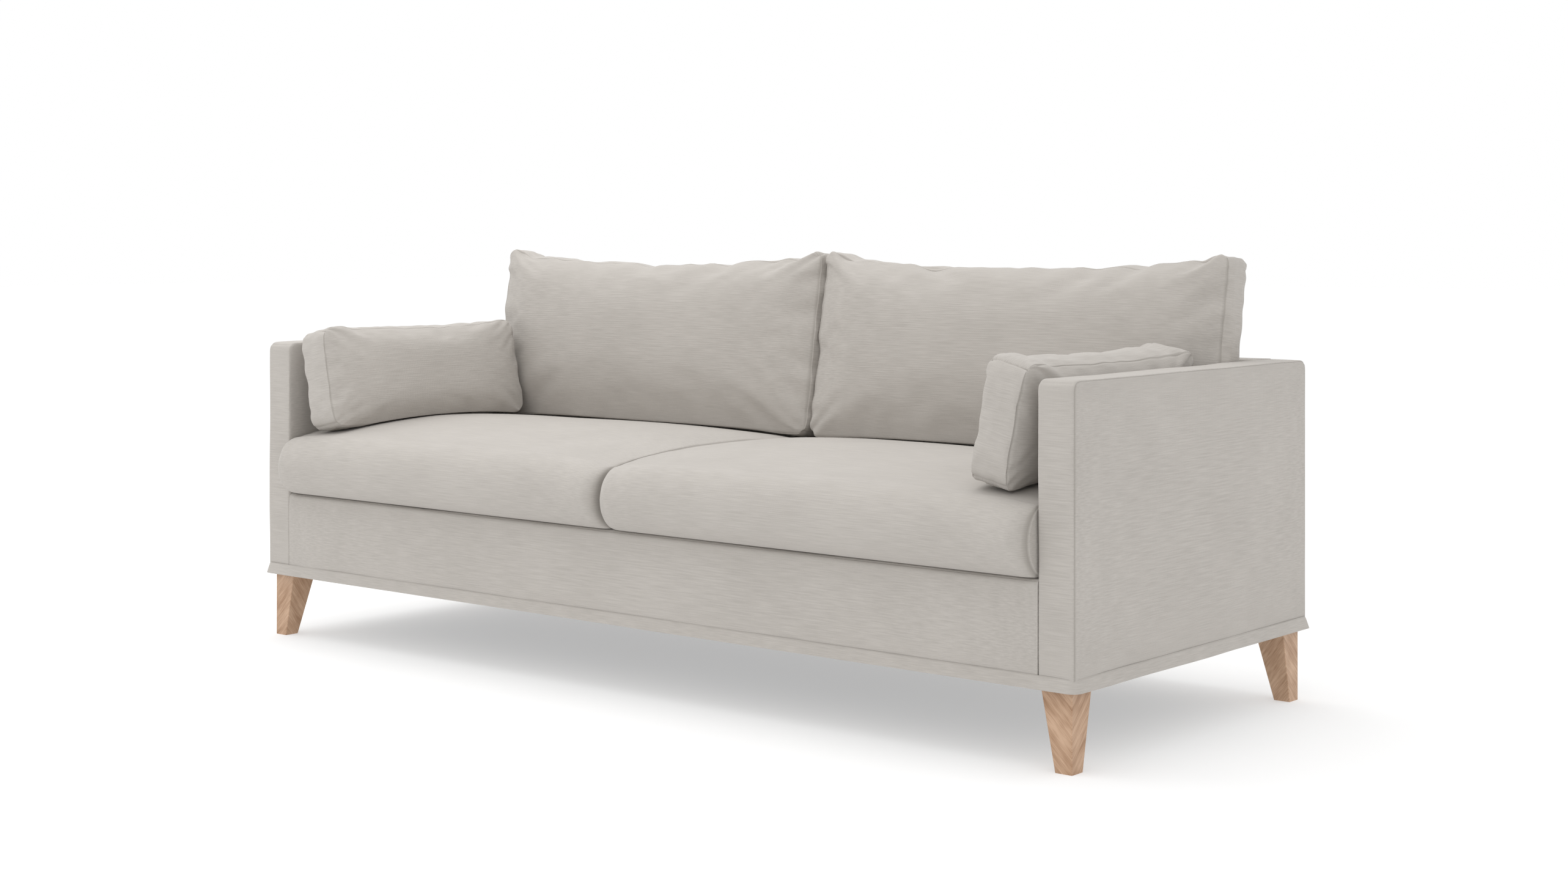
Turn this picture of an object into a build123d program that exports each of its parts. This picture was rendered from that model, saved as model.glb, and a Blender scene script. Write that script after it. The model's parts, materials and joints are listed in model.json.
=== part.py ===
from build123d import *
import os
from math import cos, radians, sin

# Three-seat sofa: timber frame, fitted loose cover, six loose cushions, four
# tapered wooden legs. Millimetres. +Z is up, +X is the sitter's left, and the
# front faces -Y. The origin is on the floor under the centre of the whole sofa.

# ---- driving dimensions ----
WIDTH = 2050.0  # over the arms
DEPTH = 799.0  # arm fronts to outside back
FRONT = -379.0  # plane of the arm fronts; the seat cushions stand 50 further out
BACK = FRONT + DEPTH
TOP = 632.0  # arms and back frame, above the floor
ARM = 70.0  # arm thickness
BACK_T = 70.0  # back frame thickness
DECK = 309.0  # top of the sprung deck under the seat cushions
UNDER = 150.0  # underside of the timber

CLOTH = 2.0  # cover with its seam turnings
ARM_PAD = 8.0  # foam on the arm sides
FRONT_PAD = 8.0  # foam on the arm fronts and the front rail
TOP_PAD = 12.0  # foam on top of arms and back
BOARD = 3.0  # hardboard panels
TIMBER = 44.0  # arm rails and posts, across the arm
POST = 50.0  # width of every upright
RAIL_H = 36.0  # bottom rail of the arm, and its top rail
RAIL_T = 40.0  # seat rails
CORNER_R = 30.0  # front and back top corners of the arm, seen from the side
SOFT_R = 8.0  # long edges of the padded arms

HEM_LOW = 134.0  # lower edge of the hem band
HEM_HIGH = 156.0
HEM_OUT = 8.0  # how far the band flares from the body
HEM_R = 14.0

LEG_FOOT = 32.5
LEG_HEAD = 62.5  # at the timber; the taper is on the two inner faces
LEG_INSET = 11.5  # straight outer faces, in from the body
LEG_EDGE = 1.0
BOLT_R = 4.0  # M8 throughout
NUT_R = 5.5
NUT_FLANGE_R = 11.0
NUT_FLANGE_T = 1.5
LEG_BOLT_LOW, LEG_BOLT_HIGH = 105.0, 180.0

GAP = 0.4  # between bodies that lie side by side
SEAT_FRONT = -429.0
SEAT_REAR = 349.0
SEAT_EDGE_TOP = 441.0  # at the arms and between the two cushions
SEAT_CROWN = 462.0  # along the cushion; a little more at its middle
SEAT_DOME = 5.0
SEAT_SHOULDER = 430.0  # where the nose meets the top
SEAT_REAR_TOP = 424.0
WADDING = 12.0

BACK_LEAN = 8.8  # degrees back from upright
BACK_FOOT_Y = 208.0
BACK_FOOT_Z = 450.5
BACK_H = 378.0
BACK_EDGE = 70.0  # boxed border
BACK_PUFF_FRONT, BACK_PUFF_REAR = 45.0, 34.0

PILLOW_LEAN = 11.6  # degrees outwards, against the arm
PILLOW_L = 550.0
PILLOW_H = 222.0
PILLOW_EDGE = 72.0
PILLOW_PUFF = 24.0
PILLOW_FRONT = -370.0
PILLOW_FOOT_X = 811.0  # inner lower edge
PILLOW_FOOT_Z = 444.0
PILLOW_SOLE = 457.0  # flattened on the seat cushion

ZIP_W = 30.0
ZIP_CHAIN = 5.0
ZIP_END = 55.0  # left plain at each end of a zip

SPRINGS_PER_SEAT = 5
WIRE = 3.8
SPRING_W = 46.0
SPRING_PITCH = 30.0
CLIP_T = 1.2
CLIP_L = 12.0

WEB_W, WEB_T, WEBS = 50.0, 1.5, 9

# ---- values that follow ----
OUTER = WIDTH / 2
INNER = OUTER - ARM
ARM_IN = INNER + CLOTH + ARM_PAD + BOARD  # inner side of the arm timber
ARM_OUT = ARM_IN + TIMBER
FRAME_FRONT = FRONT + CLOTH + FRONT_PAD
FRAME_BACK = BACK - CLOTH - BOARD
ARM_BACK = BACK - CLOTH - ARM_PAD
FRAME_TOP = TOP - CLOTH - TOP_PAD
BACK_FACE = BACK - BACK_T
POST_BACK_Y = FRAME_BACK - POST
RAIL_TOP = UNDER + RAIL_H
SEAT_RAIL_TOP = DECK - 20.0
SEAT_RAIL_REAR = BACK_FACE
SIDE_RAIL_X = ARM_IN - BOARD - 6.0
SPRING_LOW = SEAT_RAIL_TOP + CLIP_T
FELT_LOW = SPRING_LOW + WIRE + CLIP_T
FRONT_SHELF = FRONT + 90.0  # where the front cover meets the deck cloth


def box(x0, x1, y0, y1, z0, z1):
    """A block between two opposite corners."""
    centre = Vector((x0 + x1) / 2, (y0 + y1) / 2, (z0 + z1) / 2)
    return Location(centre) * Box(x1 - x0, y1 - y0, z1 - z0)


def rod(x, y, z0, z1, radius):
    """A round bar along Z."""
    return Location((x, y, (z0 + z1) / 2)) * Cylinder(radius, z1 - z0)


def rod_x(x0, x1, y, z, radius):
    """A round bar along X."""
    return Location(((x0 + x1) / 2, y, z), (0, 90, 0)) * Cylinder(radius, x1 - x0)


def mirrored(shape):
    return mirror(shape, about=Plane.YZ)


def group(pieces):
    """Several separate solids that share one node."""
    return Compound(children=[s for p in pieces for s in p.solids()])


def pair(shape):
    """The piece for each end of the sofa, in one node."""
    return group([shape, mirrored(shape)])


# ---- legs and their fixings ----
LEG_OUT_X = OUTER - LEG_INSET
LEG_CORNERS = {"front": (FRONT + LEG_INSET, 1), "back": (BACK - LEG_INSET, -1)}


def leg_axis(end):
    y, inwards = LEG_CORNERS[end]
    return LEG_OUT_X - LEG_HEAD / 2, y + inwards * LEG_HEAD / 2


def leg(end):
    """Right-hand leg: outer faces upright, inner faces tapering to the foot."""
    y, inwards = LEG_CORNERS[end]

    def square(size, z):
        middle = (LEG_OUT_X - size / 2, y + inwards * size / 2, z)
        return Plane(middle) * Rectangle(size, size)

    blank = loft([square(LEG_FOOT, 0), square(LEG_HEAD, UNDER)], ruled=True)
    upright = blank.edges().filter_by(lambda e: abs(e.tangent_at(0.5).Z) > 0.9)
    blank = chamfer(upright, LEG_EDGE)
    x, yc = leg_axis(end)
    return blank - rod(x, yc, LEG_BOLT_LOW, UNDER + 1, BOLT_R)


def leg_bolt(end):
    x, y = leg_axis(end)
    return rod(x, y, LEG_BOLT_LOW, LEG_BOLT_HIGH, BOLT_R)


def leg_nut(end):
    """Flanged nut hammered into the top of the arm's bottom rail."""
    x, y = leg_axis(end)
    barrel = rod(x, y, RAIL_TOP - 14, RAIL_TOP, NUT_R)
    flange = rod(x, y, RAIL_TOP, RAIL_TOP + NUT_FLANGE_T, NUT_FLANGE_R)
    return barrel + flange - rod(x, y, 0, TOP, BOLT_R)


# ---- frame bolts: each joins an arm to the seat frame or to the back frame ----
BOLT_PLACES = [
    (-250.0, UNDER + RAIL_H / 2),
    (230.0, UNDER + RAIL_H / 2),
    ((POST_BACK_Y + FRAME_BACK) / 2, 380.0),
    ((POST_BACK_Y + FRAME_BACK) / 2, 540.0),
]
BOLT_INNER_X = SIDE_RAIL_X - RAIL_T  # inner faces of seat side rail and back post
BOLT_TIP_X = ARM_IN + 30.0
BOLT_HEAD_R, BOLT_HEAD_T = 7.5, 5.0


def frame_bolt(y, z):
    head = rod_x(BOLT_INNER_X - BOLT_HEAD_T, BOLT_INNER_X, y, z, BOLT_HEAD_R)
    return rod_x(BOLT_INNER_X, BOLT_TIP_X, y, z, BOLT_R) + head


def frame_nut(y, z):
    """Nut in the outer side of the arm timber, its flange pulled against it."""
    barrel = rod_x(BOLT_TIP_X - 12, BOLT_TIP_X, y, z, NUT_R)
    return barrel - rod_x(BOLT_INNER_X, BOLT_TIP_X + 1, y, z, BOLT_R)


def drilled(piece):
    """Clearance for the frame bolts and their nuts, right-hand side."""
    for y, z in BOLT_PLACES:
        piece -= rod_x(BOLT_INNER_X, BOLT_TIP_X, y, z, BOLT_R)
        piece -= rod_x(BOLT_TIP_X - 12, BOLT_TIP_X, y, z, NUT_R)
    return piece


# ---- right-hand arm ----
def arm_block(inset, low):
    """Outer form of the padded arm, drawn in by inset all round."""
    depth = DEPTH - 2 * inset
    height = TOP - inset - low
    middle = ((OUTER + INNER) / 2, (FRONT + BACK) / 2, (TOP - inset + low) / 2)
    face = Plane(middle, x_dir=(0, 1, 0), z_dir=(1, 0, 0)) * Rectangle(depth, height)
    upper = face.vertices().group_by(Axis.Z)[-1]
    face = fillet(upper, CORNER_R - inset)
    block = extrude(face, ARM / 2 - inset, both=True)
    rims = [e for e in block.edges() if abs(e.tangent_at(0.5).X) < 0.1]
    rims = [e for e in rims if e.center().Z > low + 1]
    return fillet(rims, SOFT_R - inset)


def arm_posts():
    front = box(ARM_IN, ARM_OUT, FRAME_FRONT, FRAME_FRONT + POST, RAIL_TOP, FRAME_TOP - RAIL_H)
    rear = box(ARM_IN, ARM_OUT, ARM_BACK - POST, ARM_BACK, RAIL_TOP, FRAME_TOP - RAIL_H)
    nuts = [leg_nut("front"), leg_nut("back")]
    return group([drilled(front) - nuts[0], drilled(rear) - nuts[1]])


def arm_rails():
    wide = 9.0  # the bottom rail runs out under the panels to carry the legs
    low = box(ARM_IN - wide, ARM_OUT + wide, FRAME_FRONT, ARM_BACK, UNDER, RAIL_TOP)
    for end in LEG_CORNERS:
        x, y = leg_axis(end)
        low -= rod(x, y, UNDER - 1, LEG_BOLT_HIGH, BOLT_R)
        low -= rod(x, y, RAIL_TOP - 14, RAIL_TOP, NUT_R)
    high = box(ARM_IN, ARM_OUT, FRAME_FRONT, ARM_BACK, FRAME_TOP - RAIL_H, FRAME_TOP)
    return group([drilled(low), high])


def arm_panels():
    """Thin hardboard on both sides of the arm timber."""
    inner = box(ARM_IN - BOARD, ARM_IN, FRAME_FRONT, ARM_BACK, RAIL_TOP, FRAME_TOP)
    outer = box(ARM_OUT, ARM_OUT + BOARD, FRAME_FRONT, ARM_BACK, RAIL_TOP, FRAME_TOP)
    return group([drilled(inner), drilled(outer)])


def arm_padding():
    """Foam wrapped over front, top and both sides, down to the bottom rail."""
    foam = arm_block(CLOTH, RAIL_TOP)
    core = (ARM_IN - BOARD, ARM_OUT + BOARD, FRAME_FRONT, ARM_BACK, RAIL_TOP - 1, FRAME_TOP)
    foam -= box(*core)
    under_deck = (INNER - 1, ARM_IN, FRAME_FRONT + RAIL_T, BACK, RAIL_TOP - 1, SEAT_RAIL_TOP)
    return drilled(foam - box(*under_deck))


def cover_arm():
    """Fitted cloth over the arm; its inner side stops at the deck."""
    cloth = arm_block(0, HEM_HIGH) - arm_block(CLOTH, HEM_HIGH - 1)
    under_deck = (INNER - 1, INNER + CLOTH, FRAME_FRONT, FRAME_BACK, HEM_HIGH - 1, SEAT_RAIL_TOP)
    return drilled(cloth - box(*under_deck))


# ---- seat frame ----
def front_rail():
    return box(-INNER, INNER, FRAME_FRONT, FRAME_FRONT + RAIL_T, UNDER, SEAT_RAIL_TOP)


def back_rail():
    rear_y = SEAT_RAIL_REAR
    return box(-SIDE_RAIL_X, SIDE_RAIL_X, rear_y - RAIL_T, rear_y, UNDER, SEAT_RAIL_TOP)


def side_rails():
    y0, y1 = FRAME_FRONT + RAIL_T, SEAT_RAIL_REAR - RAIL_T
    rail = box(SIDE_RAIL_X - RAIL_T, SIDE_RAIL_X, y0, y1, UNDER, SEAT_RAIL_TOP)
    return pair(drilled(rail))


def centre_rail():
    y0, y1 = FRAME_FRONT + RAIL_T, SEAT_RAIL_REAR - RAIL_T
    return box(-RAIL_T / 2, RAIL_T / 2, y0, y1, UNDER, SEAT_RAIL_TOP - 25)


def corner_blocks():
    """Glued triangles in the four corners of the seat frame."""
    leg, height = 75.0, 60.0  # of each triangle
    x = SIDE_RAIL_X - RAIL_T
    blocks = []
    for y, step in ((FRAME_FRONT + RAIL_T, 1), (SEAT_RAIL_REAR - RAIL_T, -1)):
        corners = [(x, y), (x - leg, y), (x, y + step * leg)]
        face = Plane((0, 0, 200.0)) * make_face(Polyline(*corners, close=True))
        blocks.append(extrude(face, height, dir=(0, 0, 1)))
    return pair(group(blocks))


SPRING_Y0 = FRAME_FRONT + 12.0
SPRING_Y1 = SEAT_RAIL_REAR - 12.0
BAY = (SIDE_RAIL_X - RAIL_T - RAIL_T / 2) / SPRINGS_PER_SEAT
SPRING_XS = [RAIL_T / 2 + BAY * (n + 0.5) for n in range(SPRINGS_PER_SEAT)]


def spring(x):
    """Flat zigzag wire from the front rail to the back rail, its bends squared off."""
    turns = int((SPRING_Y1 - SPRING_Y0 - 2 * SPRING_PITCH) // SPRING_PITCH)
    start = (SPRING_Y0 + SPRING_Y1 - turns * SPRING_PITCH) / 2
    end = start + turns * SPRING_PITCH
    z0, z1 = SPRING_LOW, SPRING_LOW + WIRE
    wire = box(x - WIRE / 2, x + WIRE / 2, SPRING_Y0, start + WIRE, z0, z1)
    wire += box(x - WIRE / 2, x + WIRE / 2, end, SPRING_Y1, z0, z1)
    for n in range(turns + 1):
        y = start + n * SPRING_PITCH
        half = SPRING_W / 2
        first, last = n == 0, n == turns
        x0 = x - WIRE / 2 if (first and n % 2 == 0) or (last and n % 2) else x - half
        x1 = x + WIRE / 2 if last and n % 2 == 0 else x + half
        wire += box(x0, x1, y, y + WIRE, z0, z1)
        if not last:
            side = x + half if n % 2 == 0 else x - half + WIRE
            wire += box(side - WIRE, side, y, y + SPRING_PITCH, z0, z1)
    return wire


def seat_springs():
    return pair(group([spring(x) for x in SPRING_XS]))


def spring_clips():
    """A steel clip nailed over each wire end."""
    clips = []
    half = WIRE / 2
    for x in SPRING_XS:
        for y in (SPRING_Y0 + CLIP_L / 2, SPRING_Y1 - CLIP_L / 2):
            y0, y1 = y - CLIP_L / 2, y + CLIP_L / 2
            plate = box(x - 16, x + 16, y0, y1, SEAT_RAIL_TOP, SPRING_LOW)
            hood = box(x - half - CLIP_T, x + half + CLIP_T, y0, y1, SEAT_RAIL_TOP, FELT_LOW)
            groove = box(x - half, x + half, y0, y1, SPRING_LOW, SPRING_LOW + WIRE)
            clips.append(hood + plate - groove)
    return pair(group(clips))


def deck_felt():
    """Pressed felt that keeps the springs off the deck cloth."""
    y0 = FRAME_FRONT + RAIL_T
    return box(-INNER, INNER, y0, BACK_FACE, FELT_LOW, DECK - CLOTH)


def front_block(inset, y1, low):
    """The padded front rail: a block with a rounded upper front edge."""
    block = box(-INNER, INNER, FRONT + inset, y1, low, DECK - inset)
    edge = [e for e in block.edges() if e.center().Z > DECK - inset - 1 and e.center().Y < FRONT + inset + 1]
    return fillet([e for e in edge if abs(e.tangent_at(0.5).X) > 0.9], 14.0 - inset)


def front_padding():
    foam = front_block(CLOTH, FRAME_FRONT + RAIL_T, HEM_HIGH)
    rail = (-INNER, INNER, FRAME_FRONT, FRAME_FRONT + RAIL_T, UNDER, SEAT_RAIL_TOP)
    foam -= box(*rail)
    half = SPRING_W / 2 + WIRE
    reach = [box(x - half, x + half, FRAME_FRONT, 0, SEAT_RAIL_TOP - 1, FELT_LOW) for x in SPRING_XS]
    for slot in reach:
        foam = foam - slot - mirrored(slot)
    return foam


def cover_front():
    """Cloth over the front rail and back to the deck seam."""
    return front_block(0, FRONT_SHELF, HEM_HIGH) - front_block(CLOTH, FRONT_SHELF + 1, HEM_HIGH - 1)


def cover_deck():
    return box(-INNER, INNER, FRONT_SHELF, BACK_FACE, DECK - CLOTH, DECK)


def dust_cover():
    """Thin black cloth stapled under the seat frame."""
    lap = 8.0  # onto the rails
    x = SIDE_RAIL_X - lap
    return box(-x, x, FRAME_FRONT + RAIL_T - lap, SEAT_RAIL_REAR - lap, UNDER - 1.0, UNDER)


# ---- back frame, between the arms ----
def back_posts():
    z0, z1 = DECK + RAIL_H, FRAME_TOP - RAIL_H
    end = box(BOLT_INNER_X, INNER, POST_BACK_Y, FRAME_BACK, z0, z1)
    middle = box(-POST / 2, POST / 2, POST_BACK_Y, FRAME_BACK, z0, z1)
    return group([drilled(end), mirrored(drilled(end)), middle])


def back_rail_at(z0):
    return box(-INNER, INNER, POST_BACK_Y, FRAME_BACK, z0, z0 + RAIL_H)


WEB_XS = [INNER * (2 * n + 1 - WEBS) / WEBS for n in range(WEBS)]


def back_webbing():
    """Elastic straps stapled to the face of the two back rails."""
    y0, z0, z1 = POST_BACK_Y - WEB_T, DECK + 6, FRAME_TOP - 6
    return group([box(x - WEB_W / 2, x + WEB_W / 2, y0, POST_BACK_Y, z0, z1) for x in WEB_XS])


def back_panel():
    """Hardboard on the outside of the back, down to the seat rail's foot."""
    return box(-INNER, INNER, FRAME_BACK, FRAME_BACK + BOARD, UNDER + 8, FRAME_TOP)


def back_block(inset, low):
    block = box(-INNER, INNER, BACK_FACE + inset, BACK - inset, low, TOP - inset)
    edges = [e for e in block.edges() if e.center().Z > TOP - inset - 1]
    return fillet([e for e in edges if abs(e.tangent_at(0.5).X) > 0.9], SOFT_R - inset)


def back_padding():
    foam = back_block(CLOTH, DECK) - box(
        -INNER, INNER, POST_BACK_Y - WEB_T, FRAME_BACK + BOARD, DECK - 1, FRAME_TOP
    )
    return foam


def cover_back():
    cloth = back_block(0, HEM_HIGH) - back_block(CLOTH, HEM_HIGH - 1)
    return cloth - box(-INNER, INNER, BACK_FACE, BACK_FACE + CLOTH, HEM_HIGH - 1, DECK - CLOTH)


# ---- lower edge of the cover ----
def hem_outline(out, z):
    size = (WIDTH + 2 * out, DEPTH + 2 * out)
    return Plane((0, (FRONT + BACK) / 2, z)) * RectangleRounded(*size, HEM_R + out)


def hem():
    """Flared band round the foot of the cover, cut into its four sides."""
    outer = loft([hem_outline(HEM_OUT, HEM_LOW), hem_outline(0, HEM_HIGH)], ruled=True)
    inner = loft([hem_outline(HEM_OUT - CLOTH, HEM_LOW), hem_outline(-CLOTH, HEM_HIGH)], ruled=True)
    ring = outer - inner
    far = WIDTH
    front = ring & box(-far, far, FRONT - 40, FRONT + HEM_R, 0, TOP)
    back = ring & box(-far, far, BACK - HEM_R, BACK + 40, 0, TOP)
    sides = ring - front - back
    return group([front, back, sides])


FLAP = 62.0  # how far the cover turns under the frame
FLAP_Z = UNDER - 4.0
STRIP_W = 25.0


def turned_under(x_or_y_in, width, z0, z1):
    """Four strips under the frame, clear of the legs."""
    clear = LEG_HEAD + LEG_INSET + 6.0
    x, d = OUTER - clear, x_or_y_in
    side_y = (FRONT + clear, BACK - clear)
    front = box(-x, x, FRONT + d, FRONT + d + width, z0, z1)
    back = box(-x, x, BACK - d - width, BACK - d, z0, z1)
    side = box(OUTER - d - width, OUTER - d, *side_y, z0, z1)
    return [front, back, side, mirrored(side)]


def cover_flaps():
    return group(turned_under(CLOTH + 1, FLAP - 24, FLAP_Z, FLAP_Z + CLOTH))


def hook_and_loop():
    """Fastening tape between the flaps and the underside of the frame."""
    return group(turned_under(CLOTH + 12, STRIP_W, FLAP_Z + CLOTH, UNDER))


# ---- right-hand seat cushion: bull-nosed front, boxed ends ----
def seat_form(inset):
    x0, x1 = GAP + inset, INNER - GAP - inset
    y0, y1 = SEAT_FRONT + inset, SEAT_REAR - inset
    z0 = DECK + GAP + inset
    bow = (SEAT_SHOULDER - DECK - GAP) / 2  # the nose is half a circle
    chin = (SEAT_FRONT + bow, z0)
    shoulder = (SEAT_FRONT + bow, SEAT_SHOULDER - inset)
    rear = (y1, SEAT_REAR_TOP - inset)
    nose = ThreePointArc(chin, (y0, (z0 + shoulder[1]) / 2), shoulder)
    top = ThreePointArc(shoulder, ((shoulder[0] + y1) / 2, SEAT_CROWN - inset), rear)
    side = make_face(nose + top + Line(rear, (y1, z0)) + Line((y1, z0), chin))
    side = Plane((x0, 0, 0), x_dir=(0, 1, 0), z_dir=(1, 0, 0)) * side
    block = extrude(side, x1 - x0, dir=(1, 0, 0))
    corner0, corner1 = (x0, SEAT_EDGE_TOP - inset), (x1, SEAT_EDGE_TOP - inset)
    crown = ThreePointArc(corner0, ((x0 + x1) / 2, SEAT_CROWN + SEAT_DOME - inset), corner1)
    foot = Polyline(corner1, (x1, z0 - 1), (x0, z0 - 1), corner0)
    across = Plane((0, -600, 0), x_dir=(1, 0, 0), z_dir=(0, -1, 0)) * make_face(crown + foot)
    return block & extrude(across, 1200, dir=(0, 1, 0))


def zip_at(length, width, depth):
    """Zip, lying in the XY plane and depth thick: two tapes, the chain and the slider."""
    tape_w = (width - ZIP_CHAIN) / 2
    middle = (width + ZIP_CHAIN) / 4
    tapes = [Location((length / 2, s * middle, depth / 2)) * Box(length, tape_w, depth) for s in (-1, 1)]
    stop = 14.0  # the slider takes this much of the chain's end
    chain = Location((length / 2 + stop / 2, 0, depth / 2)) * Box(length - stop, ZIP_CHAIN, depth)
    slider = Location((stop / 2, 0, depth / 2)) * Box(stop, ZIP_CHAIN, depth)
    return group([*tapes, chain, slider])


def zip_slot(length, width, depth):
    return Location((length / 2, 0, depth / 2)) * Box(length, width, depth)


ZIP_SEAT = Location((ZIP_END, SEAT_REAR, 345.0), (90, 0, 0))
ZIP_SEAT_L = INNER - 2 * ZIP_END


def seat_nodes():
    skin = seat_form(0) - seat_form(CLOTH)
    return {
        "seat_cover": skin - ZIP_SEAT * zip_slot(ZIP_SEAT_L, ZIP_W, CLOTH),
        "seat_wadding": seat_form(CLOTH) - seat_form(CLOTH + WADDING),
        "seat_foam": seat_form(CLOTH + WADDING),
        "seat_zip": ZIP_SEAT * zip_at(ZIP_SEAT_L, ZIP_W, CLOTH),
    }


# ---- boxed and filled cushions ----
def boxed_form(length, height, edge, puff_front, puff_rear, inset):
    """A boxed cushion standing on XY: its border is edge thick in Y, both faces crowned."""
    x0, x1, z0, z1 = inset, length - inset, inset, height - inset
    y0, y1 = inset, edge - inset
    middle = (z0 + z1) / 2
    bow0 = ThreePointArc((z0, y0), (middle, inset - puff_front), (z1, y0))
    bow1 = ThreePointArc((z1, y1), (middle, edge + puff_rear - inset), (z0, y1))
    lens = make_face(bow0 + Line((z1, y0), (z1, y1)) + bow1 + Line((z0, y1), (z0, y0)))
    section = Plane((x0, 0, 0), x_dir=(0, 0, 1), z_dir=(-1, 0, 0)) * lens
    return extrude(section, x1 - x0, dir=(1, 0, 0))


BACK_PLACE = Location((GAP, BACK_FOOT_Y, BACK_FOOT_Z), (-BACK_LEAN, 0, 0))
BACK_L = INNER - 2 * GAP


def back_form(inset):
    return BACK_PLACE * boxed_form(BACK_L, BACK_H, BACK_EDGE, BACK_PUFF_FRONT, BACK_PUFF_REAR, inset)


def back_nodes():
    place = BACK_PLACE * Location((ZIP_END, BACK_EDGE / 2, 0))
    length = BACK_L - 2 * ZIP_END
    return {
        "back_cushion_cover": back_form(0) - back_form(CLOTH) - place * zip_slot(length, ZIP_W, CLOTH),
        "back_cushion_filling": back_form(CLOTH),
        "back_cushion_zip": place * zip_at(length, ZIP_W, CLOTH),
    }


# turned so that its border runs front to back and its top leans on the arm
PILLOW_PLACE = Location((PILLOW_FOOT_X, PILLOW_FRONT, PILLOW_FOOT_Z)) * Rotation(0, PILLOW_LEAN, 0)
PILLOW_TURN = Location((0, 0, 0), (0, 0, 90))


def pillow_form(inset):
    form = boxed_form(PILLOW_L, PILLOW_H, PILLOW_EDGE, PILLOW_PUFF, PILLOW_PUFF, inset)
    form = PILLOW_PLACE * PILLOW_TURN * mirror(form, about=Plane.XZ)
    return form & box(0, OUTER, FRONT - 50, BACK, PILLOW_SOLE + inset, TOP + 200)


def pillow_nodes():
    end = 60.0
    x = PILLOW_FOOT_X + PILLOW_EDGE / 2 + 2.0
    place = Location((x, PILLOW_FRONT + end, PILLOW_SOLE), (0, 0, 90))
    length = PILLOW_L - 2 * end
    return {
        "arm_pillow_cover": pillow_form(0) - pillow_form(CLOTH) - place * zip_slot(length, ZIP_W, CLOTH),
        "arm_pillow_filling": pillow_form(CLOTH),
        "arm_pillow_zip": place * zip_at(length, ZIP_W, CLOTH),
    }


def all_nodes():
    nodes = {
        "arm_posts_right": arm_posts(),
        "arm_rails_right": arm_rails(),
        "arm_panels_right": arm_panels(),
        "arm_padding_right": arm_padding(),
        "cover_arm_right": cover_arm(),
        "leg_front_right": leg("front"),
        "leg_back_right": leg("back"),
    }
    for cushion in (seat_nodes(), back_nodes(), pillow_nodes()):
        nodes.update({name + "_right": shape for name, shape in cushion.items()})
    left = {name.replace("_right", "_left"): mirrored(shape) for name, shape in nodes.items()}
    nodes.update(left)
    ends = list(LEG_CORNERS)
    nodes.update(
        {
            "leg_bolts": pair(group([leg_bolt(end) for end in ends])),
            "leg_nuts": pair(group([leg_nut(end) for end in ends])),
            "frame_bolts": pair(group([frame_bolt(*place) for place in BOLT_PLACES])),
            "frame_nuts": pair(group([frame_nut(*place) for place in BOLT_PLACES])),
            "front_rail": front_rail(),
            "back_rail": back_rail(),
            "side_rails": side_rails(),
            "centre_rail": centre_rail(),
            "corner_blocks": corner_blocks(),
            "seat_springs": seat_springs(),
            "spring_clips": spring_clips(),
            "deck_felt": deck_felt(),
            "front_padding": front_padding(),
            "cover_front": cover_front(),
            "cover_deck": cover_deck(),
            "dust_cover": dust_cover(),
            "back_posts": back_posts(),
            "back_bottom_rail": back_rail_at(DECK),
            "back_top_rail": back_rail_at(FRAME_TOP - RAIL_H),
            "back_webbing": back_webbing(),
            "back_panel": back_panel(),
            "back_padding": back_padding(),
            "cover_back": cover_back(),
            "hem": hem(),
            "cover_flaps": cover_flaps(),
            "hook_and_loop": hook_and_loop(),
        }
    )
    return nodes


os.makedirs("parts", exist_ok=True)
for name, shape in all_nodes().items():
    export_step(shape, f"parts/{name}.step")
    print(name, len(shape.solids()), round(shape.volume))
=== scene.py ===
# %% Setup
import json
from math import pi, radians

import bpy
import numpy as np
from mathutils import Euler, Matrix, Vector, noise


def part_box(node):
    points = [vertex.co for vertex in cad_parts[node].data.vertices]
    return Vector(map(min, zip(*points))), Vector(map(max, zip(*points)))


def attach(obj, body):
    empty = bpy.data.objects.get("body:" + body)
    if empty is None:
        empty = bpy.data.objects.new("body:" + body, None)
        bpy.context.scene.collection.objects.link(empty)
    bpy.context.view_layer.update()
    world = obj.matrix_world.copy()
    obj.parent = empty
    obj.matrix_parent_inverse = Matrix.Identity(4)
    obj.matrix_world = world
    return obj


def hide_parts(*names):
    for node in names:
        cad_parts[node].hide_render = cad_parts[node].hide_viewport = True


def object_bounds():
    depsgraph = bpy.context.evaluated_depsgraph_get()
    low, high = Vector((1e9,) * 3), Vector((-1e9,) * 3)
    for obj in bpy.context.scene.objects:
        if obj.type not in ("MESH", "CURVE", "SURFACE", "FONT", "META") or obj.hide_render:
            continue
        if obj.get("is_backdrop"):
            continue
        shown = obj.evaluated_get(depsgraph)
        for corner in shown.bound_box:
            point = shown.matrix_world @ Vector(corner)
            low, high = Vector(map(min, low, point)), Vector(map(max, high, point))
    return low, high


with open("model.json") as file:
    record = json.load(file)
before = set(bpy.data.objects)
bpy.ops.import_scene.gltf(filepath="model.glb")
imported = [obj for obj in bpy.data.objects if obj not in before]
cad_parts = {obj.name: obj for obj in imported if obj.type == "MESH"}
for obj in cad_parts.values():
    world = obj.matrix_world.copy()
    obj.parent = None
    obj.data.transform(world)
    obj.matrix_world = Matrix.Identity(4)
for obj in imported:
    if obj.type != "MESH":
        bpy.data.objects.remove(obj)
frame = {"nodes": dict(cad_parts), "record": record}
cad_low, cad_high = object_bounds()
print("the sofa's box is", [round(b - a, 3) for a, b in zip(cad_low, cad_high)], "m")

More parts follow.
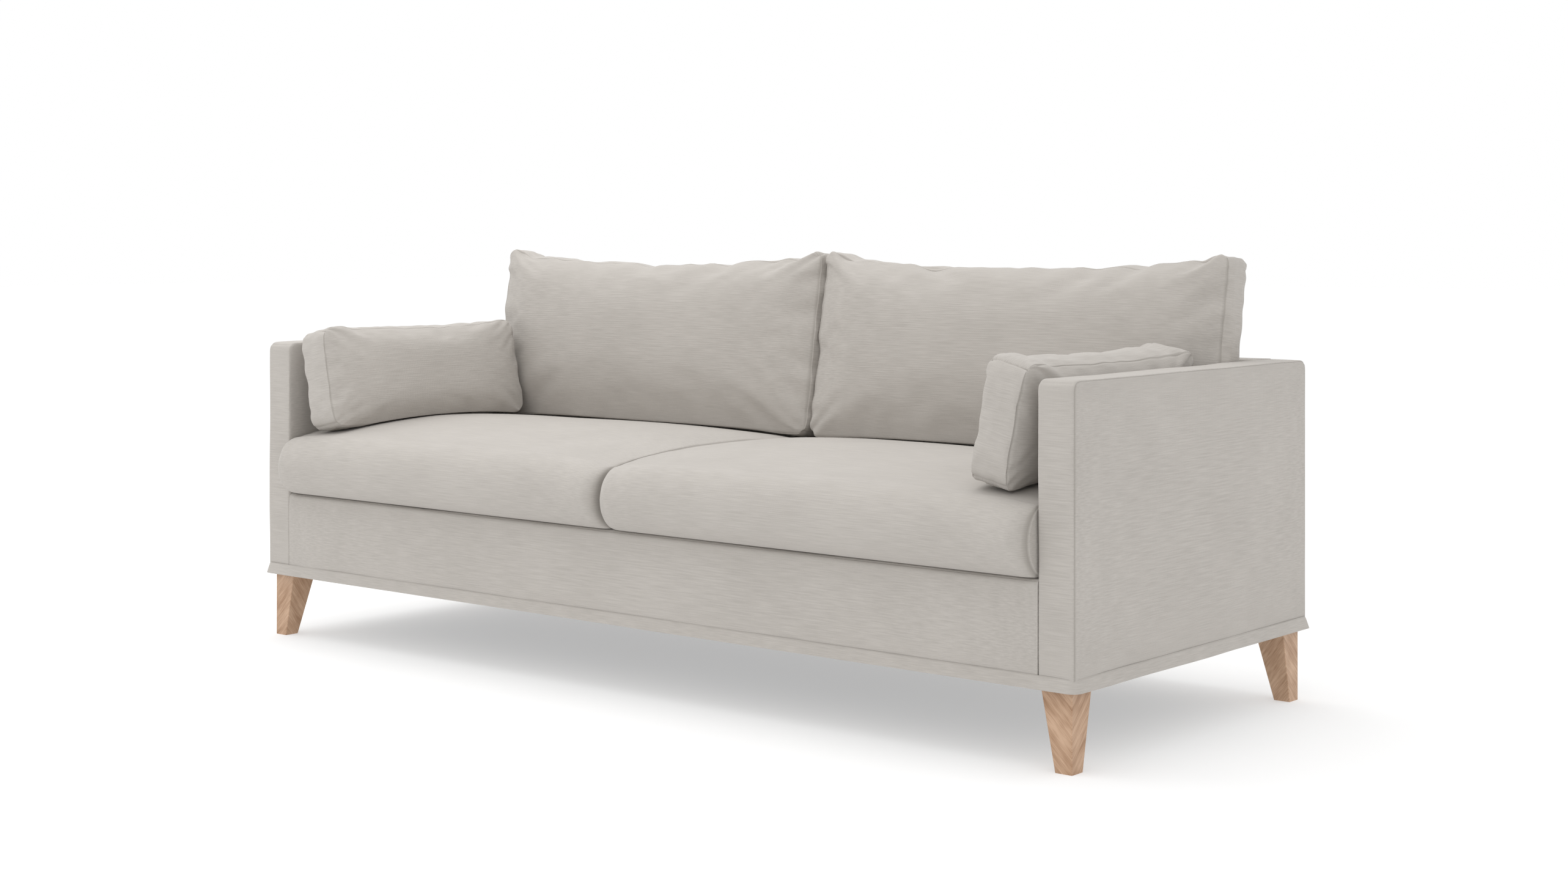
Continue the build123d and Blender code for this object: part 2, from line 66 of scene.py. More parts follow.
# %% [markdown]
# # A sofa with a loose cover and wooden legs
# The frame, the springs and the legs come from the design. This lesson sews what the
# eye meets: the padded arms and back, the front rail, the hem, and six loose cushions.
# Each cushion is made like a real one, from flat panels that the filling pushes out.
# So every soft piece starts as a box whose six sides are the six cut panels.

# %% Sides and units
SIDES = {"right": 1, "left": -1}  # the right-hand end is at +X
MM = 0.001
SLOTS = {part["node"]: part["material_slot"] for part in frame["record"]["subparts"]}
print(len(SLOTS), "pieces in the design")

# %% [markdown]
# ## Panels
# A cover is cut as flat panels and sewn along their edges. A finely divided cube is the
# same thing: six panels and twelve seams. It keeps its straight grid after the shape
# has changed, so seams, the weave and every crease can be found again from the grid.

# %% Panels
EPS = 1e-6


def panel_box(name, cuts):
    """A cube from -1 to 1, each side cut into a fine grid."""
    bpy.ops.object.select_all(action="DESELECT")
    bpy.ops.mesh.primitive_cube_add(size=2)
    piece = bpy.context.object
    piece.name = piece.data.name = name
    bpy.ops.object.mode_set(mode="EDIT")
    bpy.ops.mesh.select_all(action="SELECT")
    bpy.ops.mesh.subdivide(number_cuts=cuts)
    bpy.ops.object.mode_set(mode="OBJECT")
    return piece


def points_of(piece):
    co = np.empty(len(piece.data.vertices) * 3)
    piece.data.vertices.foreach_get("co", co)
    return co.reshape(-1, 3)


def set_points(piece, co):
    piece.data.vertices.foreach_set("co", np.ascontiguousarray(co, float).ravel())
    piece.data.update()


def crowd(t, share=0.72):
    """Moves the grid lines towards the seams, where the cloth turns and needs them."""
    return t + share * np.sin(pi * t) / pi


# %% [markdown]
# ## Creases, seams and weave
# Cloth is never quite even. Soft noise, always the same for the same seed, gives its
# waves; a number per point marks the seams; and each panel gets its own weave direction.

# %% Creases, seams and weave
def smooth_noise(x, y, z, scale, seed):
    """Soft noise from -1 to 1, with features about scale metres across."""
    at = np.stack([x / scale + 17.3 * seed, y / scale - 5.1 * seed, z / scale], axis=-1)
    return np.array([noise.noise(Vector(p)) for p in at.reshape(-1, 3)]).reshape(x.shape)


def away(t):
    """Distance from the nearest panel edge, as a share of half the panel."""
    return 1 - np.abs(t)


def on_end(grid, axis, end=0):
    """Which points lie on one end of an axis, or on either end where end is 0."""
    return np.abs(grid[:, axis] - end) < EPS if end else np.abs(grid[:, axis]) > 1 - EPS


def outward(grid):
    """A rough outward direction: that of the panel, slanted on its edges."""
    on = (np.abs(grid) > 1 - EPS) * np.sign(grid)
    return on / np.maximum(np.linalg.norm(on, axis=1, keepdims=True), 1e-9)


def seam_of(grid, pairs):
    """1 on the listed edges, 0 elsewhere. A pair is two (axis, end) that meet there."""
    seam = np.zeros(len(grid))
    for (a, end_a), (b, end_b) in pairs:
        seam[on_end(grid, a, end_a) & on_end(grid, b, end_b)] = 1
    return seam


def store(piece, name, values):
    """Keeps one number per point: how much painted shade darkens the cloth's colour along seams."""
    layer = piece.data.attributes.new(name, "FLOAT", "POINT")
    layer.data.foreach_set("value", np.asarray(values, np.float32))


PANEL_SHIFT = 0.37  # metres; each panel is cut from another part of the cloth


def cloth_map(piece, grid, lengths):
    """Lays the weave on each panel: u runs along the weft, v across it, in metres."""
    mesh = piece.data
    layer = mesh.uv_layers.new(name="cloth")
    loops = np.empty(len(mesh.loops), int)
    mesh.loops.foreach_get("vertex_index", loops)
    uv = np.empty((len(loops), 2))
    for face in mesh.polygons:
        ring = slice(face.loop_start, face.loop_start + face.loop_total)
        corners = grid[loops[ring]]
        flat = np.argmin(np.ptp(corners, axis=0))
        side = float(np.sign(corners[0, flat]))
        across, up = {0: (1, 2), 1: (0, 2), 2: (0, 1)}[int(flat)]
        shift = PANEL_SHIFT * (flat + 1) * (2 + side)
        uv[ring, 0] = corners[:, across] * lengths[across] / 2 + shift
        uv[ring, 1] = corners[:, up] * lengths[up] / 2 + shift
    layer.data.foreach_set("uv", uv.ravel())


# %% [markdown]
# ## Finishing a soft piece
# The last steps are the same for all: outward normals, a round of subdivision where one is asked for,
# smooth shading, the material of its slot, and its place under its body, where it stands in for its piece
# of the design.

# %% Finishing a soft piece
def finish_soft(piece, levels):
    """Rounds of subdivision, applied, with smooth shading."""
    bpy.ops.object.select_all(action="DESELECT")
    bpy.context.view_layer.objects.active = piece
    piece.select_set(True)
    bpy.ops.object.mode_set(mode="EDIT")
    bpy.ops.mesh.select_all(action="SELECT")
    bpy.ops.mesh.normals_make_consistent(inside=False)
    bpy.ops.object.mode_set(mode="OBJECT")
    if levels:
        rounder = piece.modifiers.new("round", "SUBSURF")
        rounder.levels = rounder.render_levels = levels
        bpy.ops.object.modifier_apply(modifier="round")
    bpy.ops.object.shade_smooth()
    print(piece.name, "has", len(piece.data.polygons), "faces")


def soft_piece(piece, body, node_name, levels):
    """Finishes a stuffed or foam piece, and lets it stand for its CAD node."""
    slot = SLOTS[node_name]
    piece.data.materials.clear()
    piece.data.materials.append(cloth if slot == "fabric" else FINISHES[slot])
    finish_soft(piece, levels)
    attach(piece, body)
    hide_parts(node_name)


# %% [markdown]
# ## Materials
# A material is a small tree of nodes. One helper adds a node, sets its values and
# links its inputs, so each finish below reads as a list of what the real stuff is.

# %% Node helper
def linear(hex_colour):
    """An sRGB hex value as the linear colour that shaders use."""
    values = [int(hex_colour[i : i + 2], 16) / 255 for i in (1, 3, 5)]
    return [v / 12.92 if v <= 0.04045 else ((v + 0.055) / 1.055) ** 2.4 for v in values] + [1.0]


def plug(tree, into, **inputs):
    """Sets or links inputs of a node, by name or, as in i2, by number."""
    for key, value in inputs.items():
        by_number = key[0] == "i" and key[1:].isdigit()
        socket = into.inputs[int(key[1:]) if by_number else key.replace("_", " ")]
        if isinstance(value, bpy.types.NodeSocket):
            tree.links.new(value, socket)
        else:
            socket.default_value = value


def node(tree, kind, settings=None, **inputs):
    """Adds a node. settings are its own values; inputs are numbers, colours or sockets."""
    made = tree.nodes.new(kind)
    for key, value in (settings or {}).items():
        setattr(made, key, value)
    plug(tree, made, **inputs)
    return made


def blend(tree, share, one, other):
    """One value turned into the other by a share from 0 to 1."""
    made = node(tree, "ShaderNodeMix", {"data_type": "FLOAT"}, i0=share, i2=one, i3=other)
    return made.outputs[0]


def new_material(name):
    material = bpy.data.materials.new(name)
    material.use_nodes = True
    tree = material.node_tree
    tree.nodes.clear()
    shader = node(tree, "ShaderNodeBsdfPrincipled")
    out = node(tree, "ShaderNodeOutputMaterial")
    tree.links.new(shader.outputs[0], out.inputs[0])
    return material, tree, shader


def ramp(tree, factor, dark, light, low=0.3, high=0.7):
    made = node(tree, "ShaderNodeValToRGB", Fac=factor)
    ends = made.color_ramp.elements
    ends[0].position, ends[0].color = low, linear(dark)
    ends[1].position, ends[1].color = high, linear(light)
    return made.outputs[0]


# %% [markdown]
# ### Linen-look cover cloth
# A slub weave of cotton, viscose and polyester. The weft has thick and thin places, so
# long pale and dark streaks run sideways. Real threads are 0.6 mm apart, too fine to
# see across a room, so the weave here is drawn 1.6 mm apart.

# %% Cover cloth
THREAD = 1.6 * MM
SLUB_WIDE, SLUB_LONG = 1.5 * MM, 38 * MM
PATCH_SHARE = 0.3  # of broad patches in the colour, against the slubs
# The last colour is painted shade: along a seam the cloth is darkened where the sewn groove would lie in
# shadow.
CLOTH_DARK, CLOTH_LIGHT, SEAM_PAINTED_SHADE = "#ada8a2", "#bab5af", "#8c8780"


def cover_cloth(name, mapped):
    """mapped cloth follows each panel's own layout; the other lies flat in the sofa's axes."""
    material, tree, shader = new_material(name)
    if mapped:
        at = node(tree, "ShaderNodeUVMap", {"uv_map": "cloth"}).outputs[0]
    else:
        at = node(tree, "ShaderNodeTexCoord").outputs["Object"]
    stretched = node(tree, "ShaderNodeMapping", Vector=at, Scale=(1 / SLUB_LONG, 1 / SLUB_WIDE, 1))
    slub = node(tree, "ShaderNodeTexNoise", Vector=stretched.outputs[0], Scale=1.0, Detail=3.0)
    patch = node(tree, "ShaderNodeTexNoise", Vector=at, Scale=9.0, Detail=5.0, Roughness=0.65)
    streaks = blend(tree, PATCH_SHARE, slub.outputs[0], patch.outputs[0])
    colour = ramp(tree, streaks, CLOTH_DARK, CLOTH_LIGHT, 0.36, 0.64)
    # Painted shade: the seam number mixes the cloth towards a darker colour along the seams, standing in
    # for the shadow in their sewn groove.
    seam = node(tree, "ShaderNodeAttribute", {"attribute_name": "seam"}).outputs["Fac"]
    cloth_with_painted_seam_shade = node(
        tree, "ShaderNodeMix", {"data_type": "RGBA"}, i0=seam, i6=colour, i7=linear(SEAM_PAINTED_SHADE)
    ).outputs["Result"]
    bands = dict(Vector=at, Scale=1 / THREAD / 6.28, Distortion=1.5)
    weft = node(tree, "ShaderNodeTexWave", {"bands_direction": "Y"}, **bands).outputs["Fac"]
    warp = node(tree, "ShaderNodeTexWave", {"bands_direction": "X"}, **bands).outputs["Fac"]
    weave = node(tree, "ShaderNodeMath", {"operation": "MULTIPLY"}, i0=weft, i1=warp).outputs[0]
    raised = dict(i0=slub.outputs[0], i1=1.2, i2=weave)
    relief = node(tree, "ShaderNodeMath", {"operation": "MULTIPLY_ADD"}, **raised)
    bump = node(tree, "ShaderNodeBump", Height=relief.outputs[0], Strength=0.35, Distance=0.4 * MM)
    plug(tree, shader, Base_Color=cloth_with_painted_seam_shade, Roughness=0.92, Normal=bump.outputs[0])
    plug(tree, shader, Sheen_Weight=0.12, Sheen_Roughness=0.55, Specular_IOR_Level=0.25)
    return material


cloth = cover_cloth("linen_look_cloth", True)
flat_cloth = cover_cloth("linen_look_cloth_flat", False)
print("cloth threads are", round(THREAD / MM, 1), "mm apart")

# %% [markdown]
# ### Oiled oak for the legs
# Each leg is sawn from a board whose growth layers cross it at a slant, so the grain
# runs diagonally and meets in a V at the corner. Thin dark pores follow the layers.
# A layer is a plane here: noise squeezed across it and drawn out along it.

# %% Oak
LAYER, PORE = 7 * MM, 0.9 * MM
PORE_SHARE, CLOUD_SHARE = 0.45, 0.25
OAK_DARK, OAK_LIGHT = "#987354", "#c7a68a"


def oak(name, across):
    """across is the direction square to the growth layers."""
    material, tree, shader = new_material(name)
    at = node(tree, "ShaderNodeTexCoord").outputs["Object"]
    turn = Vector(across).rotation_difference(Vector((0, 0, 1))).to_euler()
    turned = node(tree, "ShaderNodeMapping", Vector=at, Rotation=turn).outputs[0]
    wide = node(tree, "ShaderNodeMapping", Vector=turned, Scale=(9, 9, 1 / LAYER)).outputs[0]
    thin = node(tree, "ShaderNodeMapping", Vector=turned, Scale=(45, 45, 1 / PORE)).outputs[0]
    bent = dict(Scale=1.0, Detail=3.0, Distortion=0.4)
    layers = node(tree, "ShaderNodeTexNoise", Vector=wide, **bent).outputs[0]
    pores = node(tree, "ShaderNodeTexNoise", Vector=thin, Scale=1.0, Detail=2.0).outputs[0]
    cloud = node(tree, "ShaderNodeTexNoise", Vector=at, Scale=22.0, Detail=1.0).outputs[0]
    toned = blend(tree, CLOUD_SHARE, blend(tree, PORE_SHARE, layers, pores), cloud)
    colour = ramp(tree, toned, OAK_DARK, OAK_LIGHT, 0.36, 0.60)
    bump = node(tree, "ShaderNodeBump", Height=pores, Strength=0.25, Distance=0.3 * MM)
    plug(tree, shader, Base_Color=colour, Roughness=0.48, Normal=bump.outputs[0], Coat_Weight=0.05)
    return material


FALLING, RISING = (1, -1, 1), (-1, 1, 1)  # the grain on the front face, left to right
LEG_GRAIN = {
    ("front", "right"): FALLING,
    ("front", "left"): RISING,
    ("back", "right"): RISING,
    ("back", "left"): FALLING,
}
for (end, side), across in LEG_GRAIN.items():
    leg = frame["nodes"][f"leg_{end}_{side}"]
    leg.data.materials.clear()
    leg.data.materials.append(oak(f"oiled_oak_{end}_{side}", across))

# %% [markdown]
# ### Plain finishes of the hidden pieces
# Behind the cover are sawn softwood, hardboard, foam, wadding, felt, webbing and steel.
# Each is one grain or fleck pattern between two close colours, at its real size.

# %% Hidden finishes
def flecked(name, dark, light, size, rough, stretch=(1, 1, 1), metal=0.0, relief=0.3 * MM):
    """A pattern of flecks about size metres across, drawn out by stretch."""
    material, tree, shader = new_material(name)
    at = node(tree, "ShaderNodeTexCoord").outputs["Object"]
    scaled = node(tree, "ShaderNodeMapping", Vector=at, Scale=[1 / size / s for s in stretch])
    flecks = node(tree, "ShaderNodeTexNoise", Vector=scaled.outputs[0], Scale=1.0, Detail=4.0)
    bump = node(tree, "ShaderNodeBump", Height=flecks.outputs[0], Strength=0.4, Distance=relief)
    colour = ramp(tree, flecks.outputs[0], dark, light)
    plug(tree, shader, Base_Color=colour, Roughness=rough, Metallic=metal, Normal=bump.outputs[0])
    return material


FINISHES = {
    "timber": flecked("sawn_pine_x", "#b98f5c", "#dcb988", 3 * MM, 0.7, (40, 2, 1)),
    "timber_upright": flecked("sawn_pine_z", "#b98f5c", "#dcb988", 3 * MM, 0.7, (1, 2, 40)),
    "timber_deep": flecked("sawn_pine_y", "#b98f5c", "#dcb988", 3 * MM, 0.7, (2, 40, 1)),
    "hardboard": flecked("pressed_hardboard", "#5d432c", "#7b5a3c", 2 * MM, 0.75),
    "foam": flecked("cut_foam", "#ddd2ac", "#ebe2c2", 1.2 * MM, 0.95),
    "steel": flecked("zinc_plated_steel", "#8d9092", "#b4b7b9", 4 * MM, 0.35, metal=1.0, relief=0.05 * MM),
    "black_cloth": flecked("black_spunbond", "#0d0d0e", "#1c1c1e", 1.5 * MM, 0.9),
    "felt": flecked("grey_pressed_felt", "#5a5753", "#8a8680", 2.5 * MM, 0.98),
    "webbing": flecked("black_elastic_webbing", "#18181a", "#2d2d30", 1.4 * MM, 0.8, (1, 1, 14)),
    "tape": flecked("hook_and_loop_tape", "#c9c5bc", "#e2dfd8", 0.9 * MM, 0.9),
    "zip": flecked("zip_tape_and_chain", "#a19c94", "#bab5ad", 1.2 * MM, 0.6, (6, 1, 1)),
    "wadding": flecked("polyester_wadding", "#e7e7e3", "#f6f6f3", 5 * MM, 1.0),
    "fibre": flecked("fibre_ball_filling", "#e4e3de", "#f4f3ef", 9 * MM, 1.0),
}
GRAIN = {"arm_posts": "timber_upright", "back_posts": "timber_upright", "arm_rails": "timber_deep"}
GRAIN |= {"side_rails": "timber_deep", "centre_rail": "timber_deep"}


def finish_for(name, slot):
    if slot == "fabric":
        return flat_cloth
    for start, finish in GRAIN.items():
        if name.startswith(start):
            return FINISHES[finish]
    return FINISHES[slot]


for part in frame["record"]["subparts"]:
    if part["material_slot"] != "oak":
        shape = frame["nodes"][part["node"]]
        shape.data.materials.clear()
        shape.data.materials.append(finish_for(part["node"], part["material_slot"]))
print(len(FINISHES), "hidden finishes")

# %% [markdown]
# ## Padded arms, back and front rail
# An arm is a timber box wrapped in thin foam, with the cover pulled over it. The foam
# rounds every edge, and the cloth shows slight waves and a sewn line at the outer edges.
# Rounding is one rule: pull a point back to a smaller box, then push it out again.

# %% Rounded, padded box
FOOT_Z = 0.146  # the cloth runs on behind the hem
SEAM_GROOVE = 0.9 * MM


def pushed(points, core_low, core_high, radius):
    """Rounds a box: each point goes radius out from the nearest point of the core."""
    core = np.clip(points, core_low, core_high)
    out = points - core
    far = np.linalg.norm(out, axis=1, keepdims=True)
    return core + np.where(far > 1e-9, out / np.maximum(far, 1e-9) * radius, out)


def rounded_ends(points, low, high, corner):
    """Rounds the two upper corners seen from the side, as on the end of an arm."""
    core_low, core_high = low[1:] + (corner, 0), high[1:] - corner
    core = np.clip(points[:, 1:], core_low, core_high)
    out = points[:, 1:] - core
    reach = np.abs(out).max(axis=1, keepdims=True)
    far = np.linalg.norm(out, axis=1, keepdims=True)
    bent = points.copy()
    turned = np.where(far > 1e-9, core + out / np.maximum(far, 1e-9) * reach, points[:, 1:])
    in_corner = (out[:, 1] > 1e-9) & (np.abs(out[:, 0]) > 1e-9)
    bent[in_corner, 1:] = turned[in_corner]
    return bent


def wrapped_box(name, box, radius, seams, seed, corner=0.0, wave=1.4 * MM, square=()):
    """Foam under cloth in a box of two corners, square on the listed axes and at its foot."""
    low, high = (np.array(v) for v in box)
    low[2] = FOOT_Z
    piece = panel_box(name, 44)
    grid = points_of(piece)
    points = (low + high) / 2 + crowd(grid) * (high - low) / 2
    keep = np.array([0.0 if axis in square else radius for axis in range(3)])
    points = pushed(points, low + keep * (1, 1, 0), high - keep, radius)
    if corner:
        points = rounded_ends(points, low, high, corner)
    seam = seam_of(grid, seams)
    x, y, z = points.T
    waves = smooth_noise(x, y, z * 0.8, 0.16, seed) + 0.5 * smooth_noise(x, y, z, 0.06, seed + 3)
    along = smooth_noise(x + y, z, 0 * z, 0.028, seed + 5)
    lift = waves * wave + (along - 1) * seam * SEAM_GROOVE
    set_points(piece, points + outward(grid) * lift[:, None])
    # The seams get painted shade in the cloth's colour, darker along the sewn groove.
    store(piece, "seam", seam * 0.55)
    cloth_map(piece, grid, high - low)
    return piece


# %% Arms, front rail and back
for side, way in SIDES.items():
    outer_edges = [((0, way), (1, 0)), ((0, way), (2, 1))]
    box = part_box(f"cover_arm_{side}")
    arm = wrapped_box(f"arm_{side}", box, 5.5 * MM, outer_edges, seed=2 + way, corner=18 * MM)
    soft_piece(arm, "root", f"cover_arm_{side}", 1)

BETWEEN_ARMS = (0,)  # the axis along which a piece ends square
front_edge, back_edge = [((1, -1), (2, 1))], [((1, 1), (2, 1))]
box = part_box("cover_front")
apron = wrapped_box("front_rail_cover", box, 10 * MM, front_edge, seed=5, square=BETWEEN_ARMS)
soft_piece(apron, "root", "cover_front", 1)

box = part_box("cover_back")
back = wrapped_box("back_cover", box, 9 * MM, back_edge, seed=8, wave=1.0 * MM, square=BETWEEN_ARMS)
soft_piece(back, "root", "cover_back", 1)

# %% [markdown]
# ## Hem
# The cover ends in a band folded double, 22 mm tall, that stands out from the body
# because of its own thickness. It is one strip round all four sides, so it starts
# as a box with its top and bottom taken off, its corners bevelled and its foot spread.

# %% Hem band
HEM_TUCK = 12 * MM  # the flare is measured from this far inside the body's outline
HEM_CORNER, HEM_SPREAD, HEM_CLEAR = 20 * MM, 8 * MM, 1.0 * MM
HEM_THICK = 2.0 * MM  # two layers of cloth


def hem_band():
    """The strip round the foot of the cover, open above and below, on its own piece."""
    low, high = (np.array(v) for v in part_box("hem"))
    body_low = np.array(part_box("cover_arm_left")[0])[:2] + HEM_TUCK
    body_high = np.array(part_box("cover_arm_right")[1])[:2] - HEM_TUCK
    middle, size = (low + high) / 2, high - low
    bpy.ops.object.select_all(action="DESELECT")
    bpy.ops.mesh.primitive_cube_add(size=1)
    band = bpy.context.object
    band.name = band.data.name = "hem_band"
    set_points(band, points_of(band) * size + middle)
    bpy.ops.object.mode_set(mode="EDIT")
    bpy.ops.mesh.select_mode(type="FACE")
    bpy.ops.mesh.select_all(action="DESELECT")
    bpy.ops.object.mode_set(mode="OBJECT")
    for face in band.data.polygons:
        face.select = abs(face.normal.z) > 0.9
    bpy.ops.object.mode_set(mode="EDIT")
    bpy.ops.mesh.delete(type="ONLY_FACE")
    bpy.ops.mesh.select_mode(type="EDGE")
    bpy.ops.mesh.select_all(action="DESELECT")
    bpy.ops.object.mode_set(mode="OBJECT")
    for edge in band.data.edges:
        a, b = (band.data.vertices[i].co for i in edge.vertices)
        edge.select = abs(a.z - b.z) > 0.01
    bpy.ops.object.mode_set(mode="EDIT")
    bpy.ops.mesh.bevel(offset=HEM_CORNER, segments=6, affect="EDGES")
    bpy.ops.mesh.select_all(action="SELECT")
    bpy.ops.mesh.subdivide(number_cuts=5)
    bpy.ops.mesh.subdivide(number_cuts=4)
    bpy.ops.mesh.normals_make_consistent(inside=False)
    bpy.ops.object.mode_set(mode="OBJECT")
    points = points_of(band)
    rise = (points[:, 2] - low[2]) / size[2]
    core = np.clip(points[:, :2], body_low, body_high)
    out = points[:, :2] - core
    way = out / np.maximum(np.linalg.norm(out, axis=1, keepdims=True), 1e-6)
    flare = (1 - rise) ** 0.8 * HEM_SPREAD + HEM_CLEAR
    x, y, z = points.T
    flare = flare + smooth_noise(x, y, 0 * z, 0.11, 4) * (1 - rise) * 1.2 * MM
    points[:, :2] = core + way * (HEM_TUCK + flare)[:, None]
    points[:, 2] += smooth_noise(x, y, 0 * z, 0.2, 6) * 0.8 * MM * (1 - rise)
    set_points(band, points)
    # Painted shade along the hem's top edge, where it meets the body.
    store(band, "seam", (rise > 0.93) * 0.2)
    mesh = band.data
    layer = mesh.uv_layers.new(name="cloth")
    for loop in mesh.loops:
        p = mesh.vertices[loop.vertex_index].co
        layer.data[loop.index].uv = (p.x + p.y, p.z)
    wall = band.modifiers.new("double", "SOLIDIFY")
    wall.thickness, wall.offset = HEM_THICK, -1
    bpy.context.view_layer.objects.active = band
    bpy.ops.object.modifier_apply(modifier="double")
    band.data.materials.append(cloth)
    bpy.ops.object.shade_smooth_by_angle(angle=radians(50))
    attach(band, "root")
    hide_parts("hem")


hem_band()

# %% [markdown]
# ## Flat sheets
# Two sheets are pulled tight and tacked down: the deck cloth that the seat cushions lie
# on, and the thin black dust cover under the frame, which sags a little between rails.

# %% Deck cloth and dust cover
def tight_sheet(name, node_name, thick, sag, material):
    low, high = (np.array(v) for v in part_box(node_name))
    bpy.ops.object.select_all(action="DESELECT")
    bpy.ops.mesh.primitive_grid_add(x_subdivisions=60, y_subdivisions=24, size=2)
    sheet = bpy.context.object
    sheet.name = sheet.data.name = name
    grid = points_of(sheet)
    points = (low + high) / 2 + grid * (high - low) / 2
    dip = (1 - grid[:, 0] ** 2) * (1 - grid[:, 1] ** 2)
    points[:, 2] = high[2] - sag * dip
    set_points(sheet, points)
    wall = sheet.modifiers.new("thickness", "SOLIDIFY")
    wall.thickness, wall.offset = thick, -1
    bpy.ops.object.modifier_apply(modifier="thickness")
    bpy.ops.object.shade_smooth_by_angle(angle=radians(50))
    sheet.data.materials.append(material)
    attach(sheet, "root")
    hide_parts(node_name)


tight_sheet("deck_cloth", "cover_deck", 1.6 * MM, 0.0, flat_cloth)
tight_sheet("black_dust_cover", "dust_cover", 0.8 * MM, 3 * MM, FINISHES["black_cloth"])

# %% [markdown]
# ## Zips
# Every loose cover comes off for washing, so each has a shut zip on its hidden side. The
# tape and the coil lie on the cover itself, so they are lifted off the cover's own faces.

# %% Zip
TAPE_THICK, CHAIN_THICK = 0.8 * MM, 1.4 * MM


def lifted_strip(cover, grid, panel, limits, lift):
    """A thin solid on the faces of one panel, within the limits of its grid."""
    strip = cover.copy()
    strip.data = cover.data.copy()
    bpy.context.collection.objects.link(strip)
    bpy.ops.object.select_all(action="DESELECT")
    strip.select_set(True)
    bpy.context.view_layer.objects.active = strip
    bpy.ops.object.mode_set(mode="EDIT")
    bpy.ops.mesh.select_mode(type="FACE")
    bpy.ops.mesh.normals_make_consistent(inside=False)
    bpy.ops.object.mode_set(mode="OBJECT")
    for face in strip.data.polygons:
        middle = grid[list(face.vertices)].mean(axis=0)
        inside = all(abs(middle[axis]) < limit for axis, limit in limits)
        face.select = not (inside and abs(middle[panel[0]] - panel[1]) < EPS)
    bpy.ops.object.mode_set(mode="EDIT")
    bpy.ops.mesh.delete(type="FACE")
    bpy.ops.object.mode_set(mode="OBJECT")
    wall = strip.modifiers.new("thickness", "SOLIDIFY")
    wall.thickness, wall.offset = lift, 1
    bpy.ops.object.modifier_apply(modifier="thickness")
    strip.data.materials.clear()
    strip.data.materials.append(FINISHES["zip"])
    return strip


def block(middle, size):
    """A small box of steel for the slider and its pull."""
    bpy.ops.mesh.primitive_cube_add(size=1)
    made = bpy.context.object
    set_points(made, points_of(made) * size + middle)
    made.data.materials.append(FINISHES["steel"])
    return made


def zip_on(cover, grid, panel, along, across, body, node_name):
    """panel is (axis, end); along is an axis and the zip's reach; across has two reaches."""
    axis, tape_half, chain_half = across
    tape = lifted_strip(cover, grid, panel, [along, (axis, tape_half)], TAPE_THICK)
    chain = lifted_strip(cover, grid, panel, [along, (axis, chain_half)], CHAIN_THICK)
    points = points_of(chain)
    spans = np.ptp(points, axis=0)
    far, flat = int(np.argmax(spans)), int(np.argmin(spans))
    slider, pull = np.full(3, 7 * MM), np.full(3, 4 * MM)
    slider[flat], pull[flat], pull[far] = 2.4 * MM, 1.2 * MM, 16 * MM
    at_end = points[:, far] > points[:, far].max() - 2 * MM
    spot = points[at_end].mean(axis=0)
    spot[far] -= 4 * MM
    bpy.ops.object.select_all(action="DESELECT")
    hold = block(spot, slider)
    spot[far] -= 9 * MM
    tab = block(spot, pull)
    for part in (tape, chain, hold, tab):
        part.select_set(True)
    bpy.context.view_layer.objects.active = tape
    bpy.ops.object.join()
    tape.name = tape.data.name = f"{node_name}_sewn"
    bpy.ops.object.shade_smooth_by_angle(angle=radians(40))
    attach(tape, body)
    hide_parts(node_name)


# %% [markdown]
# ## Seat cushions
# A block of foam in wadding, with one long panel over the front, top and bottom and a
# D-shaped panel at each end. The front is half a circle. The top is highest a little
# before its middle and falls to the end seams, which pull the cloth down.

# %% Seat cushion
SEAT_SEAM_DROP = 15 * MM
SEAT_END_GAP = 1.5 * MM
SEAT_TOP, SEAT_FALL = 0.4665, 0.033
CREST_Y, CREST_REACH = -0.06, 0.36  # where the top is highest, and how far it falls away
NOSE_BOW, NOSE_CORNER = 60 * MM, 30 * MM  # rounding of the nose from the side, and in plan
NOSE_PINCH, PINCH_REACH = 3.5 * MM, 0.07  # the end seams draw in towards the nose
END_BULGE = 1.3 * MM
SEAT_CORE = (-0.04, 0.385)  # y and z that the inner layers draw in to
SEAT_HALF, SEAT_SIDE = 0.07, 0.19  # half their height, and that of the side panels' cloth
SEAT_CREASES, SEAT_PUCKERS, SEAT_GROOVE = 0.9, 1.6, 2.4 * MM


def seat_height(y, u):
    """Height of the cushion's top; u runs from -1 to 1 between the end seams."""
    fall = SEAT_FALL * np.abs((y - CREST_Y) / CREST_REACH) ** 2.2
    return SEAT_TOP - fall - SEAT_SEAM_DROP * np.abs(u) ** 5


